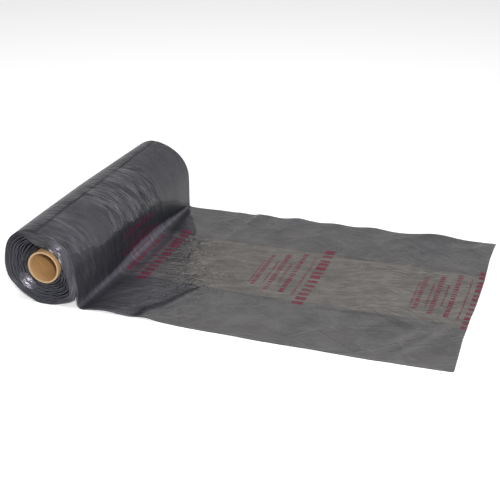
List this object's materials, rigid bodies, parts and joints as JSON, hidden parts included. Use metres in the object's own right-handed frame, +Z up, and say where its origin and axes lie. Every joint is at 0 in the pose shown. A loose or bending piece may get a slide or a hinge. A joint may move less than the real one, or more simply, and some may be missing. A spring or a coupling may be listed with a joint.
{
  "type": "roll of sanitary disposal bags",
  "caption": "Roll of gusseted grey plastic film bags on a card core, lying on its side with the first bag unrolled flat along the floor.",
  "frame": {"origin": "on the floor, at the middle of the flat spot that the roll rests on, half way along the roll", "axes": "+Y along the core's axis, +X the way the first bag is pulled out, +Z up"},
  "size_m": [0.5732, 0.3712, 0.1012],
  "materials": {
    "card": "plain brown card with a pale cut rim",
    "wound_film": "many turns of grey film, glossy, finely wrinkled",
    "film": "thin grey film with a low gloss, with printed red blocks"
  },
  "bodies": {
    "root": {"core": "card", "wound_bags": "wound_film", "leading_bag": "film"}
  },
  "joints": []
}
